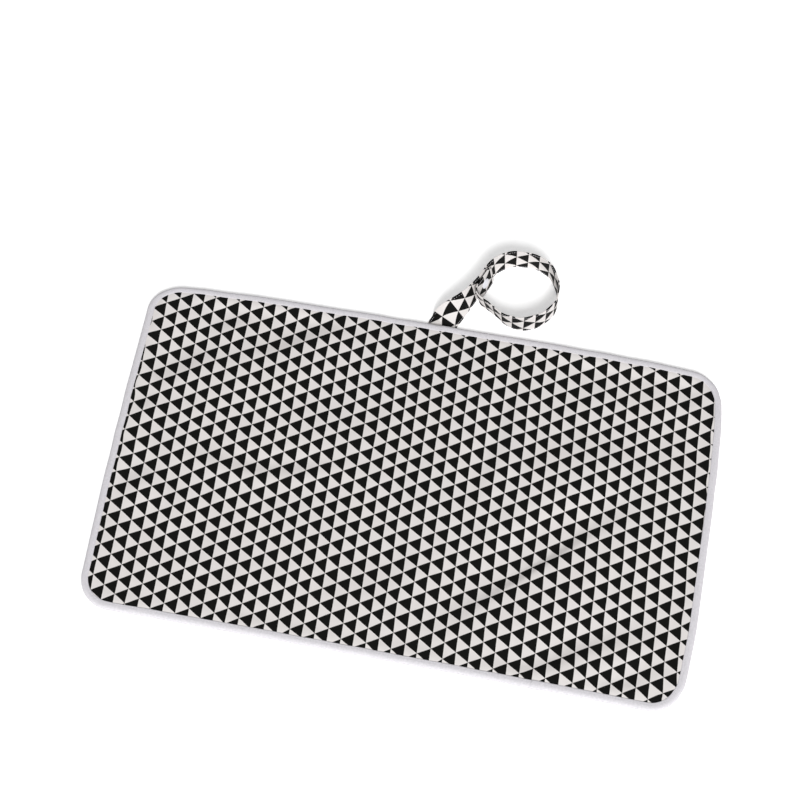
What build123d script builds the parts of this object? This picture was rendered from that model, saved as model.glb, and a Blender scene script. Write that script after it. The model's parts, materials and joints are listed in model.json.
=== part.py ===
from build123d import *
from math import atan2, cos, degrees, exp, radians, sin, sqrt
import os

# Fold-up travel changing mat: two cotton covers over a wadding sheet, bound all round,
# with a flat strap sewn under the back edge that closes on itself with a press stud.
# Millimetres. Origin: centre of the mat's underside, +X along the long edges,
# +Y towards the edge with the strap, +Z up.

# ---- mat ----
LENGTH = 650.0
WIDTH = 400.0
CORNER_R = 36.0
CROWN_T = 7.0  # over the padding
EDGE_T = 6.5  # over the binding
COVER_T = 0.7
BINDING_T = 0.6
BINDING_W = 8.0  # how far the tape shows on each face
RIM_W = 9.0  # where the covers step in under the tape
WALL_T = 0.7  # tape round the outer edge
THREAD_W = 0.5
THREAD_H = 0.2
THREAD_INSET = 6.6
LAP_X = 172.0  # where the tape's ends lap, on the front edge
LAP_W = 12.0
LAP_T = 0.5

# ---- folds, in thirds: the left third folds in first, the right third over it ----
FOLD_LEFT_X = -110.0
FOLD_RIGHT_X = 108.0
PANEL_GAP = 0.3
LAYER_GAP = 0.6  # between folded layers
LEFT_AXIS_Z = CROWN_T + LAYER_GAP / 2
STACK_2_Z = 2 * CROWN_T + LAYER_GAP
RIGHT_AXIS_Z = (CROWN_T + STACK_2_Z + LAYER_GAP) / 2

# ---- strap: its lower edge runs straight out, then round the ring ----
STRAP_W = 31.0
STRAP_T = 1.6
CORE_T = 0.5  # stiffening inside the folded strap
CORE_MARGIN = 1.2
STRAP_X, STRAP_Y = 16.0, 202.3  # where its right edge passes the mat's edge
STRAP_ANGLE = 69.0
ROOT_LENGTH = 25.0
ROOT_END = 0.9
ROOT_Z = 0.2
TAIL_START = 1.35
TWIST_START = 4.0
TWIST_END = 52.0
TWIST_STEPS = 12
TWIST_DECAY = 22.0  # the strap turns fastest beside the mat, slower towards the ring
SWING_S = 1.15
SWING_Z = 1.9
RING_X, RING_Y = 80.5, 255.5
NEAR_R = 44.0  # the ring's front half is a little flatter
LAYER_STEP = 4.0  # from the strap's outer layer to the tongue over it
TONGUE_START = 48.0
TONGUE_END = 74.5
TONGUE_GAP = 0.15
STITCH_INSET = 2.0

# ---- press stud ----
STUD_S = 59.0
STUD_Z = 15.8
CAP_R = 6.2
CAP_T = 1.4
DISC_R = 5.2
HEAD_R = 1.9
SOCKET_R = 2.05
POST_R = 1.0
POST_HOLE_R = 1.05
FABRIC_HOLE_R = 1.1
STUD_BASE_T = 0.9
SOCKET_T = 1.2
HEAD_H = 1.2

HEADING = (cos(radians(STRAP_ANGLE)), sin(radians(STRAP_ANGLE)))
INWARD = (HEADING[1], -HEADING[0])  # from the strap towards the ring's middle


def strap_point(along, inward=0.0, z=0.0):
    """A point by its distance along the strap's lower edge and inward from it."""
    return Vector(
        STRAP_X + along * HEADING[0] + inward * INWARD[0],
        STRAP_Y + along * HEADING[1] + inward * INWARD[1],
        z,
    )


# ---------------------------------------------------------------- mat


def slab(inset, z_low, z_high):
    """The mat's outline, drawn in by inset, between two heights."""
    outline = RectangleRounded(LENGTH - 2 * inset, WIDTH - 2 * inset, CORNER_R - inset)
    return extrude(Pos(0, 0, z_low) * outline, z_high - z_low)


def between(x_low, x_high, y_low=-WIDTH, y_high=WIDTH):
    """A tall block that cuts out one panel."""
    size = (x_high - x_low, y_high - y_low, 4 * CROWN_T)
    return Pos((x_low + x_high) / 2, (y_low + y_high) / 2, 0) * Box(*size)


def strap_footprint(margin, z_high):
    """The space the strap's sewn end takes under the mat."""
    low = strap_point(-ROOT_LENGTH - margin, -STRAP_W - margin)
    block = Box(
        STRAP_W + 2 * margin,
        ROOT_LENGTH + margin + 12,
        2 * z_high,
        align=(Align.MIN, Align.MIN, Align.CENTER),
    )
    return Pos(low) * Rot(0, 0, STRAP_ANGLE - 90) * block


def back_cover():
    """The lower cover: flat in the middle, stepped up under the tape, pocketed at the strap."""
    rim = slab(WALL_T, BINDING_T, BINDING_T + COVER_T)
    rim -= slab(RIM_W + COVER_T, BINDING_T, BINDING_T + COVER_T)
    cover = slab(RIM_W, 0, COVER_T) + rim
    over_strap = ROOT_Z + STRAP_T + 0.1
    pocket = strap_footprint(1.0, over_strap + COVER_T) - strap_footprint(0.3, over_strap)
    pocket &= slab(WALL_T, 0, CROWN_T)
    pocket -= slab(0, -1, BINDING_T) - slab(RIM_W, -1, BINDING_T)
    return cover - strap_footprint(1.0, over_strap + COVER_T) + pocket


def top_cover():
    """The upper cover: crowned by the wadding and drawn down under the tape."""
    rim_low = EDGE_T - BINDING_T - COVER_T
    rim = slab(WALL_T, rim_low, rim_low + COVER_T)
    rim -= slab(RIM_W + COVER_T, rim_low, rim_low + COVER_T)
    riser = slab(RIM_W, rim_low, CROWN_T) - slab(RIM_W + COVER_T, rim_low, CROWN_T)
    return slab(RIM_W, CROWN_T - COVER_T, CROWN_T) + riser + rim


def wadding():
    """The padding: full depth in the middle and pinched at the rim."""
    middle = slab(RIM_W + COVER_T, COVER_T, CROWN_T - COVER_T)
    rim = slab(WALL_T, BINDING_T + COVER_T, EDGE_T - BINDING_T - COVER_T)
    return middle + rim - strap_footprint(1.0, ROOT_Z + STRAP_T + 0.1 + COVER_T)


def edge_binding():
    """Folded tape with a U section all round, let up over the strap."""
    tape = slab(0, 0, EDGE_T) - slab(WALL_T, BINDING_T, EDGE_T - BINDING_T)
    tape -= slab(BINDING_W, -1, EDGE_T + 1)
    return tape - strap_footprint(0.3, ROOT_Z + STRAP_T + 0.1)


def binding_thread():
    """The sewing line along the tape's inner edge."""
    low, high = EDGE_T, EDGE_T + THREAD_H
    return slab(THREAD_INSET, low, high) - slab(THREAD_INSET + THREAD_W, low, high)


def binding_lap():
    """The tape's end, lapped over its start on the front edge."""
    edge = -WIDTH / 2
    top = Box(LAP_W, BINDING_W - 2 * THREAD_W - 1.2, LAP_T, align=(Align.CENTER, Align.MIN, Align.MIN))
    side = Box(LAP_W, LAP_T, EDGE_T, align=(Align.CENTER, Align.MAX, Align.MIN))
    corner = Box(LAP_W, LAP_T, LAP_T, align=(Align.CENTER, Align.MAX, Align.MIN))
    return (
        Pos(LAP_X, edge, EDGE_T) * top
        + Pos(LAP_X, edge, 0) * side
        + Pos(LAP_X, edge, EDGE_T) * corner
    )


# ---------------------------------------------------------------- strap


def flat_strip(start, end, z_low, thickness, margin=0.0):
    """A stretch of the strap that lies flat."""
    block = Box(
        STRAP_W - 2 * margin,
        end - start,
        thickness,
        align=(Align.MIN, Align.MIN, Align.MIN),
    )
    return Pos(strap_point(start, -STRAP_W + margin, z_low)) * Rot(0, 0, STRAP_ANGLE - 90) * block


def upright_strip(start, end, inward, thickness, margin=0.0):
    """A straight stretch that stands on its edge, centred on an inward offset."""
    block = Box(
        thickness,
        end - start,
        STRAP_W - 2 * margin,
        align=(Align.CENTER, Align.MIN, Align.MIN),
    )
    return Pos(strap_point(start, inward, margin)) * Rot(0, 0, STRAP_ANGLE - 90) * block


def twist_section(fraction, thickness, margin):
    """The strap's cross-section while it turns from flat to standing."""
    reach = TWIST_END - TWIST_START
    along = TWIST_START + fraction * reach
    turned = 1 - exp(-fraction * reach / TWIST_DECAY)
    turn = radians(90) * turned / (1 - exp(-reach / TWIST_DECAY))
    rest = strap_point(along, 0, STRAP_T / 2 * cos(turn))
    across = Vector(-INWARD[0] * cos(turn), -INWARD[1] * cos(turn), sin(turn))
    facing = Vector(INWARD[0] * sin(turn), INWARD[1] * sin(turn), cos(turn))
    near, far = rest + across * margin, rest + across * (STRAP_W - margin)
    half = facing * (thickness / 2)
    return Polyline(near - half, far - half, far + half, near + half, close=True)


def twisted_strip(thickness, margin=0.0):
    """The stretch where the strap turns on edge."""
    steps = [i / TWIST_STEPS for i in range(TWIST_STEPS + 1)]
    sections = [make_face(twist_section(f, thickness, margin)) for f in steps]
    return loft(sections, ruled=True)


def wall(centre, radius, start, sweep, z_low, z_high, thickness):
    """A curved wall: an arc of the strap standing on edge."""
    inner, outer = radius - thickness / 2, radius + thickness / 2
    arcs = [CenterArc(centre, r, start, sweep) for r in (inner, outer)]
    ends = [Line(arcs[0] @ t, arcs[1] @ t) for t in (0, 1)]
    return extrude(Pos(0, 0, z_low) * make_face(arcs + ends), z_high - z_low)


def ring_arcs():
    """Centre, radius, start angle and sweep of the ring's arcs, far half first."""
    start = strap_point(0)
    to_centre = (RING_X - start.X, RING_Y - start.Y)
    far_r = to_centre[0] * INWARD[0] + to_centre[1] * INWARD[1]
    tangent = degrees(atan2(-INWARD[1], -INWARD[0]))
    far = ((RING_X, RING_Y), far_r, tangent, -tangent)
    near_centre = (RING_X + far_r - NEAR_R, RING_Y)
    joint = strap_point(TONGUE_START - TONGUE_GAP, LAYER_STEP)
    gap = (near_centre[0] - joint.X, near_centre[1] - joint.Y)
    inward = gap[0] * INWARD[0] + gap[1] * INWARD[1]
    turn_r = (NEAR_R**2 - gap[0] ** 2 - gap[1] ** 2) / (2 * (NEAR_R - inward))
    turn_centre = (joint.X + turn_r * INWARD[0], joint.Y + turn_r * INWARD[1])
    meet = degrees(atan2(turn_centre[1] - near_centre[1], turn_centre[0] - near_centre[0]))
    near = (near_centre, NEAR_R, 0, meet)
    turn = (turn_centre, turn_r, meet, tangent - 360 - meet)
    return far, near, turn


def tangent_along():
    """How far along the strap the ring begins."""
    start = strap_point(0)
    return (RING_X - start.X) * HEADING[0] + (RING_Y - start.Y) * HEADING[1]


def stud_cylinder(radius, low, high):
    """A round piece on the press stud's axis, between two inward offsets."""
    plane = Plane(
        origin=strap_point(STUD_S, low, STUD_Z),
        x_dir=(0, 0, 1),
        z_dir=(INWARD[0], INWARD[1], 0),
    )
    return extrude(plane * Circle(radius), high - low)


def tail(thickness, margin, hole_r):
    """Flat stretch, twist and the standing stretch up to the ring."""
    low = (STRAP_T - thickness) / 2
    body = flat_strip(TAIL_START + margin, TWIST_START, low, thickness, margin)
    body += twisted_strip(thickness, margin)
    body += upright_strip(TWIST_END, tangent_along(), 0, thickness, margin)
    return body - stud_cylinder(hole_r, -STRAP_T, STRAP_T)


def ring_half(arcs, thickness, margin):
    """The ring's walls on some of its arcs."""
    walls = [wall(*arc, margin, STRAP_W - margin, thickness) for arc in arcs]
    body = walls[0]
    for extra in walls[1:]:
        body += extra
    return body


def tongue(thickness, margin, hole_r):
    """The strap's free end, with its corners rounded."""
    start, end = TONGUE_START + TONGUE_GAP, TONGUE_END - margin
    body = upright_strip(start + margin, end, LAYER_STEP, thickness, margin)
    tip = strap_point(end)
    corners = [
        e
        for e in body.edges().filter_by(GeomType.LINE)
        if abs((e @ 0.5 - tip).dot(Vector(*HEADING, 0))) < 0.01
        and abs((e @ 1 - e @ 0).Z) < 0.01
    ]
    body = fillet(corners, 4.0 - margin)
    return body - stud_cylinder(hole_r, LAYER_STEP - STRAP_T, LAYER_STEP + STRAP_T)


def strap_stitching(arcs):
    """Topstitching on the inner face of the ring, along both edges."""
    rows = []
    for z in (STITCH_INSET, STRAP_W - STITCH_INSET - THREAD_W):
        for centre, radius, start, sweep in arcs:
            inner = radius - STRAP_T / 2 - THREAD_H / 2
            rows.append(wall(centre, inner, start, sweep, z, z + THREAD_W, THREAD_H))
    return rows


def root_stitching():
    """The box of stitches that holds the strap's end under the mat."""
    sides = flat_strip(-ROOT_LENGTH + 2.5, -5.0, 0, ROOT_Z, 2.5)
    hollow = flat_strip(-ROOT_LENGTH + 2.5 + THREAD_W, -5.0 - THREAD_W, 0, ROOT_Z, 2.5 + THREAD_W)
    return sides - hollow


# ---------------------------------------------------------------- press stud


def domed_cap(low, high, rim_at_high):
    """A shallow cap with its rim rounded over."""
    cap = stud_cylinder(CAP_R, low, high)
    centre = strap_point(STUD_S, high if rim_at_high else low, STUD_Z)
    rim = [
        e
        for e in cap.edges().filter_by(GeomType.CIRCLE)
        if abs((e.arc_center - centre).dot(Vector(*INWARD, 0))) < 0.01
    ]
    return fillet(rim, 0.9)


def stud_cap():
    """Cap on the strap's outer face, its post through the fabric into the stud."""
    outer = -STRAP_T / 2
    return domed_cap(outer - CAP_T, outer, False) + stud_cylinder(
        POST_R, outer, STRAP_T / 2 + STUD_BASE_T - 0.2
    )


def stud():
    """Disc with the head that snaps into the socket."""
    base = STRAP_T / 2
    body = stud_cylinder(DISC_R, base, base + STUD_BASE_T)
    body += stud_cylinder(HEAD_R, base + STUD_BASE_T, base + STUD_BASE_T + HEAD_H)
    return body - stud_cylinder(POST_HOLE_R, base, base + STUD_BASE_T - 0.2)


def socket():
    """Disc with the recess that takes the stud's head."""
    back = LAYER_STEP - STRAP_T / 2
    body = stud_cylinder(DISC_R, back - SOCKET_T, back)
    body -= stud_cylinder(SOCKET_R, back - SOCKET_T, back - 0.2)
    return body - stud_cylinder(POST_HOLE_R, back - 0.2, back)


def socket_cap():
    """Cap on the tongue's inner face, its post through the fabric into the socket."""
    face = LAYER_STEP + STRAP_T / 2
    return domed_cap(face, face + CAP_T, True) + stud_cylinder(
        POST_R, LAYER_STEP - STRAP_T / 2 - 0.15, face
    )


# ---------------------------------------------------------------- nodes


def as_group(shapes):
    """One node from separate solids."""
    return Compound(children=[s for shape in shapes for s in shape.solids()])


def panel_nodes():
    """Each layer of the mat, cut at the two folds."""
    half = PANEL_GAP / 2
    panels = {
        "left": between(-LENGTH, FOLD_LEFT_X - half),
        "middle": between(FOLD_LEFT_X + half, FOLD_RIGHT_X - half),
        "right": between(FOLD_RIGHT_X + half, LENGTH),
    }
    layers = {
        "top_cover": top_cover(),
        "wadding": wadding(),
        "back_cover": back_cover(),
        "edge_binding": edge_binding(),
        "binding_thread": binding_thread(),
    }
    nodes = {}
    for layer, body in layers.items():
        for panel, block in panels.items():
            piece = body & block
            if panel == "middle" and layer.endswith(("binding", "thread")):
                nodes[f"{layer}_back"] = piece & between(-LENGTH, LENGTH, 0, WIDTH)
                nodes[f"{layer}_front"] = piece & between(-LENGTH, LENGTH, -WIDTH, 0)
            else:
                nodes[f"{layer}_{panel}"] = piece
    nodes["binding_lap"] = binding_lap()
    return nodes


def strap_nodes():
    """The strap, its stiffening and its stitching."""
    far, near, turn = ring_arcs()
    hole = FABRIC_HOLE_R
    cores = [
        tail(CORE_T, CORE_MARGIN, hole + 0.4),
        ring_half([far], CORE_T, CORE_MARGIN),
        ring_half([near, turn], CORE_T, CORE_MARGIN),
    ]
    tongue_core = tongue(CORE_T, CORE_MARGIN, hole + 0.4)
    return {
        "strap_root": flat_strip(-ROOT_LENGTH, ROOT_END, ROOT_Z, STRAP_T),
        "strap_root_stitching": root_stitching(),
        "strap_tail": tail(STRAP_T, 0, hole) - cores[0],
        "strap_ring_far": ring_half([far], STRAP_T, 0) - cores[1],
        "strap_ring_near": ring_half([near, turn], STRAP_T, 0) - cores[2],
        "strap_interfacing": as_group(cores),
        "strap_stitching": as_group(strap_stitching([far, near, turn])),
        "strap_tongue": tongue(STRAP_T, 0, hole) - tongue_core,
        "tongue_interfacing": tongue_core,
        "stud_cap": stud_cap(),
        "stud": stud(),
        "socket": socket(),
        "socket_cap": socket_cap(),
    }


def main():
    os.makedirs("parts", exist_ok=True)
    nodes = {**panel_nodes(), **strap_nodes()}
    for name, shape in nodes.items():
        export_step(shape, f"parts/{name}.step")
    pivot = strap_point(SWING_S, -STRAP_W / 2, SWING_Z)
    print("fold axes z", LEFT_AXIS_Z, RIGHT_AXIS_Z)
    print("strap swing", [round(v, 3) for v in pivot], "axis", [round(v, 4) for v in INWARD])
    print("ring arcs", [[round(v, 2) if not isinstance(v, tuple) else v for v in a] for a in ring_arcs()])


main()
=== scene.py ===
"""Looks for a fold-up travel changing mat: printed cotton, bias tape, a strap and a press stud."""

import bmesh
import bpy
import json
import math
import numpy as np
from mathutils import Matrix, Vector


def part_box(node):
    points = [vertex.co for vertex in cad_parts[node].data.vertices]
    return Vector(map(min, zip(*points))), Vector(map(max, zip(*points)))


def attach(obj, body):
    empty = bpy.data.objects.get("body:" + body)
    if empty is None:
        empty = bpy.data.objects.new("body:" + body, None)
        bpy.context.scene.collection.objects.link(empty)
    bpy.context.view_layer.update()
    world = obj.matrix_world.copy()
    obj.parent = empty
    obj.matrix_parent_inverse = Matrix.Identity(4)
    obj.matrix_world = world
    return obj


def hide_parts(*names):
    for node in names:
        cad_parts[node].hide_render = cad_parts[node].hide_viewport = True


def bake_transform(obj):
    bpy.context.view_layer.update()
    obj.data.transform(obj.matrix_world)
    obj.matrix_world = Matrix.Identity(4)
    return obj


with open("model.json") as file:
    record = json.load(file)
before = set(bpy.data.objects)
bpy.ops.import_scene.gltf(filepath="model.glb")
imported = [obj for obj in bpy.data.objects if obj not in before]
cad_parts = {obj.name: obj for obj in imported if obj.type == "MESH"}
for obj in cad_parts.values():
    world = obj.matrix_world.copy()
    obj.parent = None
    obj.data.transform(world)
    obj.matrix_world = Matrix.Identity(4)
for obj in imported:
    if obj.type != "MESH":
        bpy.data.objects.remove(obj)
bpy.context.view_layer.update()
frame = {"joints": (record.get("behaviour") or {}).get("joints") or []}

MM = 0.001
JOINTS = {j["name"]: j for j in frame["joints"]}

# ---- sizes from the frame ----
HALF_L = -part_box("edge_binding_left")[0][0]
HALF_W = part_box("edge_binding_left")[1][1]
EDGE_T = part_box("edge_binding_left")[1][2]
CROWN_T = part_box("top_cover_middle")[1][2]
STRAP_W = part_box("strap_ring_far")[1][2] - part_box("strap_ring_far")[0][2]
INWARD = np.array(JOINTS["strap_swing"]["axis"])
INWARD = INWARD / np.linalg.norm(INWARD)
HEADING = np.array([-INWARD[1], INWARD[0], 0.0])
UP = np.array([0.0, 0.0, 1.0])

# ---- mat ----
CORNER_R = 36 * MM
COVER_IN = 3 * MM  # how far the covers' cut edge lies inside the mat's edge, hidden by the tape
WADDING_IN = COVER_IN + 0.8 * MM
THINNEST = 0.8 * MM  # of the wadding, over the strap's sewn end
TAPE_W = 8 * MM  # how far the tape shows on each face
STITCH_IN = 6.6 * MM  # sewing line, in from the outer edge
STITCH_PITCH = 3.1 * MM
PAINTED_SHADE_LINE = 11.5 * MM  # where a thin line of painted shade runs along the tape's outer fold, measured round its section from the sewn edge
PAINTED_SHADE_HALF = 1.2 * MM
LAP_X = (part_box("binding_lap")[0][0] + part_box("binding_lap")[1][0]) / 2
COVER_T = 0.5 * MM
GLUE_GAP = 0.15 * MM  # between the wadding and each cover
HIGHEST = CROWN_T + 0.3 * MM  # any higher, and the folded panels would enter each other
LOWEST = 2.6 * MM
EASING = 0.4 * MM  # how gradually the surface meets those limits
POCKET_RISE = 2.15 * MM  # how far the underside clears the strap's sewn end
FOLD_GAIN = 2.1  # how strongly the soft folds stand out
SINK = 1.3 * MM  # how far the padding lies below its highest folds
ROLL_OFF = 7 * MM  # how fast the padding rises beside the tape
PRINT_STEP, BACK_STEP, WADDING_STEP, TAPE_STEP = 2.6 * MM, 3.2 * MM, 4.5 * MM, 1.0 * MM  # mesh spacing

# ---- print: columns of triangles that point to -X ----
COLUMN = 13.44 * MM
SIDE = 17.1 * MM
COLUMN_TURN = math.radians(2.74)  # the cloth lies a little askew
SIDE_TURN = math.radians(-0.71)
PRINT_PHASE = (7.33, -0.20)  # columns and sides at the mat's centre

# ---- strap, as the design has it ----
STRAP_T = 1.6 * MM
STRAP_PHASE = (-0.16, -0.20)  # columns and sides at its lower edge, where it leaves the mat
STRAP_STITCH_IN = 2.0 * MM
STRAP_STITCH_PITCH = 2.6 * MM
STIFFENER_T = 0.5 * MM
STIFFENER_IN = 2.4 * MM
EDGE_START = np.array([16.0, 202.3, 0.0]) * MM
ROOT_LENGTH = 25 * MM
TWIST = (-1 * MM, 60 * MM)  # where it turns on edge
TWIST_DECAY = 18 * MM  # fastest beside the mat
SNAP_LEAN = math.radians(10)  # the strap leans outwards at the press stud
NEAR_LEAN = math.radians(12)
NEAR_DRAW = 8 * MM  # how far the lower left of the ring is drawn in
RING = np.array([80.5, 255.5, 0.0]) * MM
NEAR_R = 44 * MM
LAYER_STEP = 4 * MM
TONGUE = (47.85 * MM, 74.5 * MM)
STUD_S, STUD_Z = 59 * MM, 15.8 * MM

rng = np.random.default_rng(7)


# ================================================================ materials


def new_material(name, base, roughness):
    """A material with one Principled shader: gives the material, its node tree and the shader."""
    mat = bpy.data.materials.new(name)
    mat.use_nodes = True
    shader = mat.node_tree.nodes["Principled BSDF"]
    shader.inputs["Base Color"].default_value = (*base, 1)
    shader.inputs["Roughness"].default_value = roughness
    return mat, mat.node_tree, shader


def math_node(tree, operation, a, b=None):
    """A Math node on sockets or numbers."""
    node = tree.nodes.new("ShaderNodeMath")
    node.operation = operation
    for slot, value in zip(node.inputs, (a, b)):
        if value is None:
            continue
        if isinstance(value, (int, float)):
            slot.default_value = value
        else:
            tree.links.new(value, slot)
    return node.outputs[0]


def cloth_uv(tree):
    """The flat cloth's coordinates in metres."""
    uv = tree.nodes.new("ShaderNodeUVMap")
    uv.uv_map = "cloth"
    parts = tree.nodes.new("ShaderNodeSeparateXYZ")
    tree.links.new(uv.outputs[0], parts.inputs[0])
    return uv.outputs[0], parts.outputs[0], parts.outputs[1]


def noise_node(tree, vector, scale, detail=2.0, roughness=0.5):
    """Soft noise, 0 to 1: a higher scale gives finer grains."""
    node = tree.nodes.new("ShaderNodeTexNoise")
    node.inputs["Scale"].default_value = scale
    node.inputs["Detail"].default_value = detail
    node.inputs["Roughness"].default_value = roughness
    tree.links.new(vector, node.inputs["Vector"])
    return node.outputs["Fac"]


def mix_colour(tree, factor, a, b):
    """Colour a where the factor is 0, colour b where it is 1."""
    node = tree.nodes.new("ShaderNodeMix")
    node.data_type = "RGBA"
    for slot, value in ((node.inputs[0], factor), (node.inputs[6], a), (node.inputs[7], b)):
        if isinstance(value, (int, float)):
            slot.default_value = value
        elif isinstance(value, tuple):
            slot.default_value = (*value, 1)
        else:
            tree.links.new(value, slot)
    return node.outputs[2]


def weave(tree, u, v, thread):
    """Height of a plain weave, 0 to 1: over and under threads in both directions."""
    across = math_node(tree, "SINE", math_node(tree, "MULTIPLY", u, math.pi / thread))
    along = math_node(tree, "SINE", math_node(tree, "MULTIPLY", v, math.pi / thread))
    crossing = math_node(tree, "MULTIPLY", across, along)
    return math_node(tree, "ADD", math_node(tree, "MULTIPLY", crossing, 0.5), 0.5)


def add_bump(tree, shader, height, strength, distance):
    """Fine relief that is too small to model."""
    bump = tree.nodes.new("ShaderNodeBump")
    bump.inputs["Strength"].default_value = strength
    bump.inputs["Distance"].default_value = distance
    tree.links.new(height, bump.inputs["Height"])
    tree.links.new(bump.outputs[0], shader.inputs["Normal"])


def print_material():
    """Cotton with columns of black triangles on off-white."""
    mat, tree, shader = new_material("print_cotton", (0.7, 0.68, 0.67), 0.82)
    vector, u, v = cloth_uv(tree)
    wobble = math_node(tree, "SUBTRACT", noise_node(tree, vector, 900), 0.5)
    wobble = math_node(tree, "MULTIPLY", wobble, 0.35 * MM)
    x = math_node(tree, "MULTIPLY", math_node(tree, "ADD", u, wobble), 0.5 / COLUMN)
    y = math_node(tree, "MULTIPLY", math_node(tree, "ADD", v, wobble), 1.0 / SIDE)
    rising = math_node(tree, "FRACT", math_node(tree, "ADD", x, y))
    falling = math_node(tree, "FRACT", math_node(tree, "SUBTRACT", x, y))
    black = math_node(tree, "LESS_THAN", math_node(tree, "ADD", rising, falling), 1.0)
    patches = noise_node(tree, vector, 45, 3)
    fibres = noise_node(tree, vector, 2600, 2)
    off_white = mix_colour(tree, patches, (0.66, 0.63, 0.615), (0.745, 0.715, 0.70))
    off_white = mix_colour(tree, math_node(tree, "MULTIPLY", fibres, 0.25), off_white, (0.58, 0.55, 0.54))
    ink = mix_colour(tree, fibres, (0.0022, 0.0022, 0.0020), (0.007, 0.007, 0.0065))
    threads = weave(tree, u, v, 0.32 * MM)
    ink = mix_colour(tree, math_node(tree, "MULTIPLY", threads, 0.2), ink, (0.012, 0.012, 0.011))
    tree.links.new(mix_colour(tree, black, off_white, ink), shader.inputs["Base Color"])
    rough = math_node(tree, "SUBTRACT", 0.86, math_node(tree, "MULTIPLY", black, 0.14))
    tree.links.new(rough, shader.inputs["Roughness"])
    relief = math_node(tree, "ADD", threads, math_node(tree, "MULTIPLY", fibres, 0.6))
    add_bump(tree, shader, relief, 0.5, 0.12 * MM)
    shader.inputs["Specular IOR Level"].default_value = 0.06
    shader.inputs["Sheen Weight"].default_value = 0.01
    return mat


def plain_cloth(name, low, high, thread, bias=False, relief=0.5, fold_shade_line=0, mottle=150):
    """Plain woven cotton; bias-cut tape has its threads at 45 degrees and a thin line of painted shade at
    its outer fold.
    """
    mat, tree, shader = new_material(name, low, 0.88)
    vector, u, v = cloth_uv(tree)
    across = v
    if bias:
        u, v = (
            math_node(tree, "MULTIPLY", math_node(tree, "ADD", u, v), math.sqrt(0.5)),
            math_node(tree, "MULTIPLY", math_node(tree, "SUBTRACT", u, v), math.sqrt(0.5)),
        )
    threads = weave(tree, u, v, thread)
    patches = noise_node(tree, vector, mottle, 4, 0.65)
    patches = math_node(tree, "MULTIPLY", math_node(tree, "SUBTRACT", patches, 0.5), 2.2)
    patches = math_node(tree, "MAXIMUM", math_node(tree, "ADD", patches, 0.5), 0)
    patches = math_node(tree, "MINIMUM", patches, 1)
    fibres = noise_node(tree, vector, 2200, 2)
    shade = math_node(tree, "MULTIPLY", math_node(tree, "ADD", patches, threads), 0.5)
    colour = mix_colour(tree, shade, low, high)
    # painted shade: a thin dark grey line along the tape's outermost fold stands in for the shadow at the
    # tape's edge
    if fold_shade_line:
        from_fold = math_node(tree, "ABSOLUTE", math_node(tree, "SUBTRACT", across, fold_shade_line))
        line = math_node(tree, "LESS_THAN", from_fold, PAINTED_SHADE_HALF)
        faint = math_node(tree, "ADD", math_node(tree, "MULTIPLY", patches, 0.5), 0.5)
        colour = mix_colour(tree, math_node(tree, "MULTIPLY", line, faint), colour, (0.19, 0.18, 0.19))
    tree.links.new(colour, shader.inputs["Base Color"])
    height = math_node(tree, "ADD", threads, math_node(tree, "MULTIPLY", fibres, 0.8))
    add_bump(tree, shader, height, relief, 0.15 * MM)
    shader.inputs["Specular IOR Level"].default_value = 0.25
    shader.inputs["Sheen Weight"].default_value = 0.1
    return mat


def thread_material():
    """Spun sewing thread, twisted."""
    mat, tree, shader = new_material("sewing_thread", (0.76, 0.74, 0.77), 0.7)
    place = tree.nodes.new("ShaderNodeTexCoord")
    twist = tree.nodes.new("ShaderNodeTexWave")
    twist.inputs["Scale"].default_value = 900
    twist.inputs["Distortion"].default_value = 1.5
    tree.links.new(place.outputs["Object"], twist.inputs["Vector"])
    shade = mix_colour(tree, twist.outputs["Fac"], (0.62, 0.60, 0.63), (0.80, 0.78, 0.81))
    tree.links.new(shade, shader.inputs["Base Color"])
    add_bump(tree, shader, twist.outputs["Fac"], 0.6, 0.08 * MM)
    return mat


def fibre_material(name, low, high, scale):
    """Bonded fibre fill or stiffener."""
    mat, tree, shader = new_material(name, low, 0.95)
    place = tree.nodes.new("ShaderNodeTexCoord")
    strands = noise_node(tree, place.outputs["Object"], scale, 6, 0.7)
    clumps = noise_node(tree, place.outputs["Object"], scale / 12, 3)
    tree.links.new(mix_colour(tree, clumps, low, high), shader.inputs["Base Color"])
    add_bump(tree, shader, strands, 0.7, 0.4 * MM)
    shader.inputs["Sheen Weight"].default_value = 0.15
    return mat


def stud_material():
    """White moulded press stud plastic, faintly mottled."""
    mat, tree, shader = new_material("stud_plastic", (0.72, 0.72, 0.77), 0.34)
    place = tree.nodes.new("ShaderNodeTexCoord")
    mottle = noise_node(tree, place.outputs["Object"], 700, 3)
    colour = mix_colour(tree, mottle, (0.70, 0.70, 0.76), (0.78, 0.78, 0.83))
    tree.links.new(colour, shader.inputs["Base Color"])
    rough = math_node(tree, "ADD", math_node(tree, "MULTIPLY", mottle, 0.14), 0.26)
    tree.links.new(rough, shader.inputs["Roughness"])
    add_bump(tree, shader, mottle, 0.12, 0.05 * MM)
    return mat


MATERIALS = {
    "print": print_material(),
    "back": plain_cloth("back_cotton", (0.66, 0.65, 0.665), (0.78, 0.77, 0.785), 0.4 * MM),
    # the tape gets a thin line of painted shade along its outer fold
    "tape": plain_cloth(
        "bias_tape", (0.50, 0.485, 0.515), (0.78, 0.76, 0.79), 0.36 * MM,
        bias=True, relief=0.7, fold_shade_line=PAINTED_SHADE_LINE, mottle=420,
    ),
    "thread": thread_material(),
    "wadding": fibre_material("fibre_fill", (0.74, 0.74, 0.72), (0.86, 0.86, 0.84), 1500),
    "stiffener": fibre_material("stiffener", (0.72, 0.72, 0.70), (0.82, 0.82, 0.80), 2500),
    "stud": stud_material(),
}


# ================================================================ mesh helpers


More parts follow.
